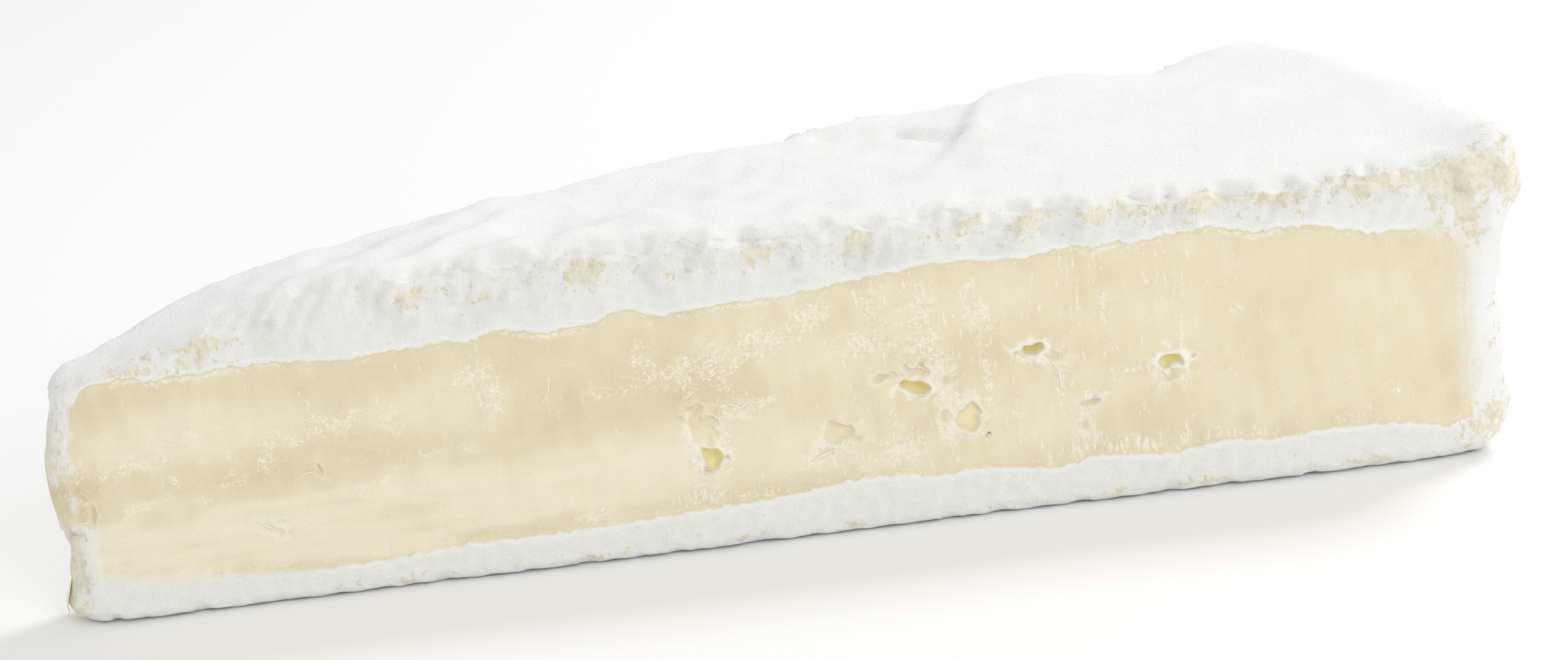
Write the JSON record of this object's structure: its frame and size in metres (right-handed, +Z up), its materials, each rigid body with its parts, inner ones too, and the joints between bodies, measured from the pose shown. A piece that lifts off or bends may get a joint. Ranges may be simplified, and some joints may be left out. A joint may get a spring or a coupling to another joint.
{
  "type": "brie wedge",
  "caption": "Long wedge of ripe soft cheese with a white bloomy rind, a blunt tip, a cream-coloured cut paste with small eyes and a lipped outer rim.",
  "frame": {"origin": "centre of the bounding box in plan, on the flat underside that the wedge lies on", "axes": "+X along the front cut from the tip to the rim, -Y out of the front cut, +Z up"},
  "size_m": [0.1646, 0.0652, 0.038],
  "materials": {
    "cheese": "velvety white rind round a smooth, slightly moist cream-coloured paste"
  },
  "bodies": {
    "root": {"brie_wedge": "cheese"}
  },
  "joints": []
}
